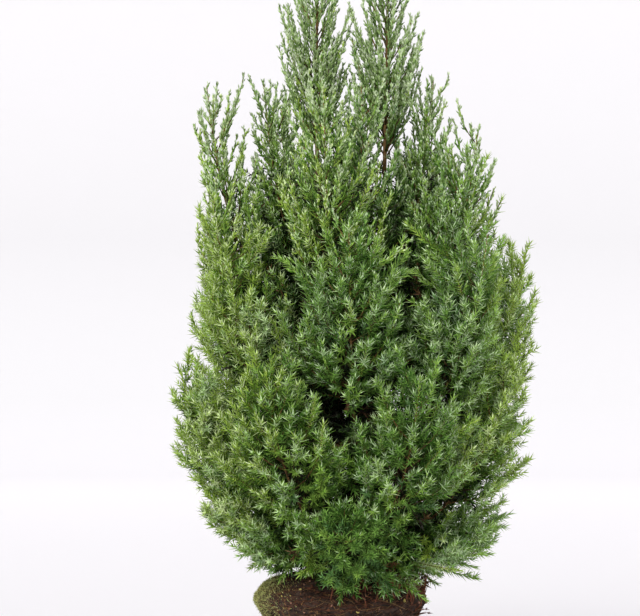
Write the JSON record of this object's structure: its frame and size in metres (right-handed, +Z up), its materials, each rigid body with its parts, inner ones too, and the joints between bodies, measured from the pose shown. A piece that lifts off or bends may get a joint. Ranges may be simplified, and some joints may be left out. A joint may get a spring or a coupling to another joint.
{
  "type": "chinese juniper",
  "caption": "Bushy upright young chinese juniper with a forked stem, dense pointed plumes of needle and scale foliage and a free-standing root ball.",
  "frame": {"origin": "middle of the root ball's flat underside, at the ground", "axes": "+Z up, +X to the right of the front view, +Y away from the viewer; the front of the plant faces -Y"},
  "size_m": [0.4102, 0.3827, 0.85],
  "materials": {
    "bark": "rough reddish-brown bark",
    "root_mass": "fibrous dark brown roots and potting mix",
    "foliage": "matt green needles and scale leaves"
  },
  "bodies": {
    "root": {"bough_low_1": "bark", "bough_low_2": "bark", "bough_low_3": "bark", "bough_low_4": "bark", "bough_low_5": "bark", "bough_low_6": "bark", "bough_low_7": "bark", "bough_middle_1": "bark", "bough_middle_2": "bark", "bough_middle_3": "bark", "bough_middle_4": "bark", "bough_middle_5": "bark", "bough_middle_6": "bark", "bough_middle_7": "bark", "bough_skirt_1": "bark", "bough_skirt_2": "bark", "bough_skirt_3": "bark", "bough_skirt_4": "bark", "bough_skirt_5": "bark", "bough_upper_1": "bark", "bough_upper_2": "bark", "bough_upper_3": "bark", "bough_upper_4": "bark", "bough_upper_5": "bark", "heart_1": "foliage", "heart_2": "foliage", "heart_3": "foliage", "inner_1": "foliage", "inner_2": "foliage", "inner_3": "foliage", "inner_4": "foliage", "leader_left": "foliage", "leader_right": "foliage", "low_1": "foliage", "low_2": "foliage", "low_3": "foliage", "low_4": "foliage", "low_5": "foliage", "low_6": "foliage", "low_7": "foliage", "middle_1": "foliage", "middle_2": "foliage", "middle_3": "foliage", "middle_4": "foliage", "middle_5": "foliage", "middle_6": "foliage", "middle_7": "foliage", "root_ball": "root_mass", "second_stem": "bark", "skirt_1": "foliage", "skirt_2": "foliage", "skirt_3": "foliage", "skirt_4": "foliage", "skirt_5": "foliage", "trunk": "bark", "upper_1": "foliage", "upper_2": "foliage", "upper_3": "foliage", "upper_4": "foliage", "upper_5": "foliage"}
  },
  "joints": []
}
